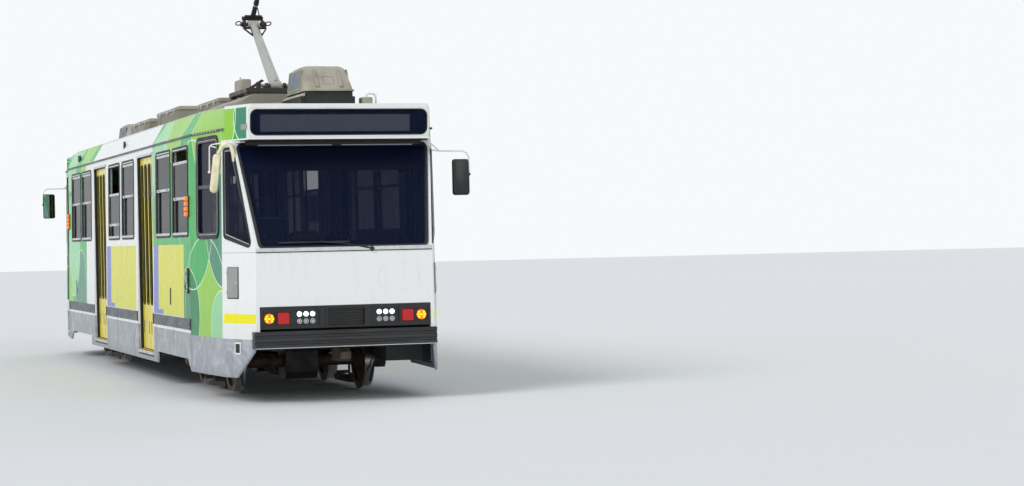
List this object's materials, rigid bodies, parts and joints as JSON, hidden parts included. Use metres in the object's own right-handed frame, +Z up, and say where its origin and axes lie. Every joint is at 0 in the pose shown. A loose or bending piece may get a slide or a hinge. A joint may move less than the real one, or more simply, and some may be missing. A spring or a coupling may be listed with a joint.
{
  "type": "bogie tram",
  "caption": "Double-ended bogie tram with folding doors, raked windscreens, roof air conditioners and a raised single-arm pantograph.",
  "frame": {"origin": "floor point under the middle of the tram, at the wheels' flange tips", "axes": "+X forwards along the tram, +Y to its left, +Z up; the rail's top is at z = 0.025"},
  "size_m": [15.004, 3.07, 5.6399],
  "materials": {
    "body_paint": "gloss",
    "door_yellow": "gloss",
    "skirt_grey": "satin, scuffed",
    "moulding_grey": "satin",
    "dark_frame": "satin",
    "bumper_black": "satin",
    "window_metal": "anodised",
    "window_glass": "tinted",
    "tinted_glass": "tinted",
    "lamp_lens": "gloss",
    "roof_grey": "matte, weathered",
    "roof_plastic": "matte",
    "mirror_shell": "satin",
    "arm_grey": "satin",
    "interior_panel": "satin",
    "floor_covering": "matte",
    "seat_fabric": "woven",
    "handrail": "gloss",
    "bogie_grey": "dusty",
    "cast_grey": "oily",
    "underfloor": "dusty",
    "wheel_steel": "worn tread"
  },
  "bodies": {
    "car": {"air_conditioners": "roof_plastic", "bumpers": "bumper_black", "cab_glass": "tinted_glass", "cab_interiors": "interior_panel", "cab_partitions": "interior_panel", "cab_shell_front": "body_paint", "cab_shell_rear": "body_paint", "couplers": "bogie_grey", "destination_boxes": "body_paint", "door_portals": "dark_frame", "floor": "floor_covering", "grab_poles": "handrail", "lamp_panels": "bumper_black", "lamps": "lamp_lens", "mirrors": "mirror_shell", "pantograph_base": "dark_frame", "roof": "roof_grey", "roof_equipment": "roof_grey", "seat_cushions": "seat_fabric", "seat_frames": "interior_panel", "side_mouldings": "moulding_grey", "side_wall_left": "body_paint", "side_wall_right": "body_paint", "side_windows": "window_glass", "skirts": "skirt_grey", "step_wells": "floor_covering", "underfloor_boxes": "underfloor", "underframe": "underfloor", "window_frames": "window_metal"},
    "bogie_front": {"bogie_frame_front": "bogie_grey", "drive_unit_front": "cast_grey"},
    "wheelset_front_outer": {"wheelset_front_outer": "wheel_steel"},
    "wheelset_front_inner": {"wheelset_front_inner": "wheel_steel"},
    "bogie_rear": {"bogie_frame_rear": "bogie_grey", "drive_unit_rear": "cast_grey"},
    "wheelset_rear_outer": {"wheelset_rear_outer": "wheel_steel"},
    "wheelset_rear_inner": {"wheelset_rear_inner": "wheel_steel"},
    "pantograph_lower_arm": {"pantograph_lower_arm": "arm_grey"},
    "pantograph_upper_arm": {"pantograph_upper_arm": "dark_frame"},
    "pantograph_head": {"pantograph_head": "dark_frame"},
    "door_left_cab_aft_fold": {"door_left_cab_aft_fold": "door_yellow"},
    "door_left_cab_aft_jamb": {"door_left_cab_aft_jamb": "door_yellow"},
    "door_left_front_aft_fold": {"door_left_front_aft_fold": "door_yellow"},
    "door_left_front_aft_jamb": {"door_left_front_aft_jamb": "door_yellow"},
    "door_left_front_fore_fold": {"door_left_front_fore_fold": "door_yellow"},
    "door_left_front_fore_jamb": {"door_left_front_fore_jamb": "door_yellow"},
    "door_left_rear_aft_fold": {"door_left_rear_aft_fold": "door_yellow"},
    "door_left_rear_aft_jamb": {"door_left_rear_aft_jamb": "door_yellow"},
    "door_left_rear_fore_fold": {"door_left_rear_fore_fold": "door_yellow"},
    "door_left_rear_fore_jamb": {"door_left_rear_fore_jamb": "door_yellow"},
    "door_right_cab_fore_fold": {"door_right_cab_fore_fold": "door_yellow"},
    "door_right_cab_fore_jamb": {"door_right_cab_fore_jamb": "door_yellow"},
    "door_right_front_aft_fold": {"door_right_front_aft_fold": "door_yellow"},
    "door_right_front_aft_jamb": {"door_right_front_aft_jamb": "door_yellow"},
    "door_right_front_fore_fold": {"door_right_front_fore_fold": "door_yellow"},
    "door_right_front_fore_jamb": {"door_right_front_fore_jamb": "door_yellow"},
    "door_right_rear_aft_fold": {"door_right_rear_aft_fold": "door_yellow"},
    "door_right_rear_aft_jamb": {"door_right_rear_aft_jamb": "door_yellow"},
    "door_right_rear_fore_fold": {"door_right_rear_fore_fold": "door_yellow"},
    "door_right_rear_fore_jamb": {"door_right_rear_fore_jamb": "door_yellow"}
  },
  "joints": [
    {"name": "bogie_front_turn", "type": "hinge", "parent": "car", "child": "bogie_front", "pos_m": [4.25, 0, 0.6], "axis": [0, 0, 1], "range_deg": [-15, 15]},
    {"name": "wheelset_front_outer_spin", "type": "hinge", "parent": "bogie_front", "child": "wheelset_front_outer", "pos_m": [5.15, 0, 0.355], "axis": [0, 1, 0], "continuous": true},
    {"name": "wheelset_front_inner_spin", "type": "hinge", "parent": "bogie_front", "child": "wheelset_front_inner", "pos_m": [3.35, 0, 0.355], "axis": [0, 1, 0], "continuous": true},
    {"name": "bogie_rear_turn", "type": "hinge", "parent": "car", "child": "bogie_rear", "pos_m": [-4.25, 0, 0.6], "axis": [0, 0, 1], "range_deg": [-15, 15]},
    {"name": "wheelset_rear_outer_spin", "type": "hinge", "parent": "bogie_rear", "child": "wheelset_rear_outer", "pos_m": [-5.15, 0, 0.355], "axis": [0, 1, 0], "continuous": true},
    {"name": "wheelset_rear_inner_spin", "type": "hinge", "parent": "bogie_rear", "child": "wheelset_rear_inner", "pos_m": [-3.35, 0, 0.355], "axis": [0, 1, 0], "continuous": true},
    {"name": "pantograph_lower", "type": "hinge", "parent": "car", "child": "pantograph_lower_arm", "pos_m": [4.14, 0, 3.645], "axis": [0, 1, 0], "range_deg": [-31, 12]},
    {"name": "pantograph_knuckle", "type": "hinge", "parent": "pantograph_lower_arm", "child": "pantograph_upper_arm", "pos_m": [2.9, 0, 4.505], "axis": [0, 1, 0], "range_deg": [-25.22, 64.36]},
    {"name": "pantograph_tilt", "type": "hinge", "parent": "pantograph_upper_arm", "child": "pantograph_head", "pos_m": [4.4, 0, 5.585], "axis": [0, 1, 0], "range_deg": [-33.36, 13.22]},
    {"name": "door_left_cab_aft_jamb_swing", "type": "hinge", "parent": "car", "child": "door_left_cab_aft_jamb", "pos_m": [5.72763, 1.2052, 1.6], "axis": [0, 0, -1], "range_deg": [0, 86]},
    {"name": "door_left_cab_aft_fold_swing", "type": "hinge", "parent": "door_left_cab_aft_jamb", "child": "door_left_cab_aft_fold", "pos_m": [6.1202, 1.20986, 1.6], "axis": [0, 0, 1], "range_deg": [-0.5, 172.5]},
    {"name": "door_left_front_aft_jamb_swing", "type": "hinge", "parent": "car", "child": "door_left_front_aft_jamb", "pos_m": [1.368, 1.22925, 1.6], "axis": [0, 0, -1], "range_deg": [0, 86]},
    {"name": "door_left_front_aft_fold_swing", "type": "hinge", "parent": "door_left_front_aft_jamb", "child": "door_left_front_aft_fold", "pos_m": [1.654, 1.26975, 1.6], "axis": [0, 0, 1], "range_deg": [-0.5, 172.5]},
    {"name": "door_left_front_fore_jamb_swing", "type": "hinge", "parent": "car", "child": "door_left_front_fore_jamb", "pos_m": [2.528, 1.22925, 1.6], "axis": [0, 0, 1], "range_deg": [0, 86]},
    {"name": "door_left_front_fore_fold_swing", "type": "hinge", "parent": "door_left_front_fore_jamb", "child": "door_left_front_fore_fold", "pos_m": [2.242, 1.26975, 1.6], "axis": [0, 0, -1], "range_deg": [-0.5, 172.5]},
    {"name": "door_left_rear_aft_jamb_swing", "type": "hinge", "parent": "car", "child": "door_left_rear_aft_jamb", "pos_m": [-2.768, 1.22925, 1.6], "axis": [0, 0, -1], "range_deg": [0, 86]},
    {"name": "door_left_rear_aft_fold_swing", "type": "hinge", "parent": "door_left_rear_aft_jamb", "child": "door_left_rear_aft_fold", "pos_m": [-2.482, 1.26975, 1.6], "axis": [0, 0, 1], "range_deg": [-0.5, 172.5]},
    {"name": "door_left_rear_fore_jamb_swing", "type": "hinge", "parent": "car", "child": "door_left_rear_fore_jamb", "pos_m": [-1.608, 1.22925, 1.6], "axis": [0, 0, 1], "range_deg": [0, 86]},
    {"name": "door_left_rear_fore_fold_swing", "type": "hinge", "parent": "door_left_rear_fore_jamb", "child": "door_left_rear_fore_fold", "pos_m": [-1.894, 1.26975, 1.6], "axis": [0, 0, -1], "range_deg": [-0.5, 172.5]},
    {"name": "door_right_cab_fore_jamb_swing", "type": "hinge", "parent": "car", "child": "door_right_cab_fore_jamb", "pos_m": [-5.72763, -1.2052, 1.6], "axis": [0, 0, -1], "range_deg": [0, 86]},
    {"name": "door_right_cab_fore_fold_swing", "type": "hinge", "parent": "door_right_cab_fore_jamb", "child": "door_right_cab_fore_fold", "pos_m": [-6.1202, -1.20986, 1.6], "axis": [0, 0, 1], "range_deg": [-0.5, 172.5]},
    {"name": "door_right_front_aft_jamb_swing", "type": "hinge", "parent": "car", "child": "door_right_front_aft_jamb", "pos_m": [1.608, -1.22925, 1.6], "axis": [0, 0, 1], "range_deg": [0, 86]},
    {"name": "door_right_front_aft_fold_swing", "type": "hinge", "parent": "door_right_front_aft_jamb", "child": "door_right_front_aft_fold", "pos_m": [1.894, -1.26975, 1.6], "axis": [0, 0, -1], "range_deg": [-0.5, 172.5]},
    {"name": "door_right_front_fore_jamb_swing", "type": "hinge", "parent": "car", "child": "door_right_front_fore_jamb", "pos_m": [2.768, -1.22925, 1.6], "axis": [0, 0, -1], "range_deg": [0, 86]},
    {"name": "door_right_front_fore_fold_swing", "type": "hinge", "parent": "door_right_front_fore_jamb", "child": "door_right_front_fore_fold", "pos_m": [2.482, -1.26975, 1.6], "axis": [0, 0, 1], "range_deg": [-0.5, 172.5]},
    {"name": "door_right_rear_aft_jamb_swing", "type": "hinge", "parent": "car", "child": "door_right_rear_aft_jamb", "pos_m": [-2.528, -1.22925, 1.6], "axis": [0, 0, 1], "range_deg": [0, 86]},
    {"name": "door_right_rear_aft_fold_swing", "type": "hinge", "parent": "door_right_rear_aft_jamb", "child": "door_right_rear_aft_fold", "pos_m": [-2.242, -1.26975, 1.6], "axis": [0, 0, -1], "range_deg": [-0.5, 172.5]},
    {"name": "door_right_rear_fore_jamb_swing", "type": "hinge", "parent": "car", "child": "door_right_rear_fore_jamb", "pos_m": [-1.368, -1.22925, 1.6], "axis": [0, 0, -1], "range_deg": [0, 86]},
    {"name": "door_right_rear_fore_fold_swing", "type": "hinge", "parent": "door_right_rear_fore_jamb", "child": "door_right_rear_fore_fold", "pos_m": [-1.654, -1.26975, 1.6], "axis": [0, 0, 1], "range_deg": [-0.5, 172.5]}
  ],
  "couplings": [
    {"joint": "pantograph_knuckle", "follows": "pantograph_lower", "ratio": -2.06},
    {"joint": "pantograph_tilt", "follows": "pantograph_lower", "ratio": 1.06},
    {"joint": "door_left_cab_aft_fold_swing", "follows": "door_left_cab_aft_jamb_swing", "ratio": 2},
    {"joint": "door_left_front_aft_fold_swing", "follows": "door_left_front_aft_jamb_swing", "ratio": 2},
    {"joint": "door_left_front_fore_fold_swing", "follows": "door_left_front_fore_jamb_swing", "ratio": 2},
    {"joint": "door_left_rear_aft_fold_swing", "follows": "door_left_rear_aft_jamb_swing", "ratio": 2},
    {"joint": "door_left_rear_fore_fold_swing", "follows": "door_left_rear_fore_jamb_swing", "ratio": 2},
    {"joint": "door_right_cab_fore_fold_swing", "follows": "door_right_cab_fore_jamb_swing", "ratio": 2},
    {"joint": "door_right_front_aft_fold_swing", "follows": "door_right_front_aft_jamb_swing", "ratio": 2},
    {"joint": "door_right_front_fore_fold_swing", "follows": "door_right_front_fore_jamb_swing", "ratio": 2},
    {"joint": "door_right_rear_aft_fold_swing", "follows": "door_right_rear_aft_jamb_swing", "ratio": 2},
    {"joint": "door_right_rear_fore_fold_swing", "follows": "door_right_rear_fore_jamb_swing", "ratio": 2}
  ]
}
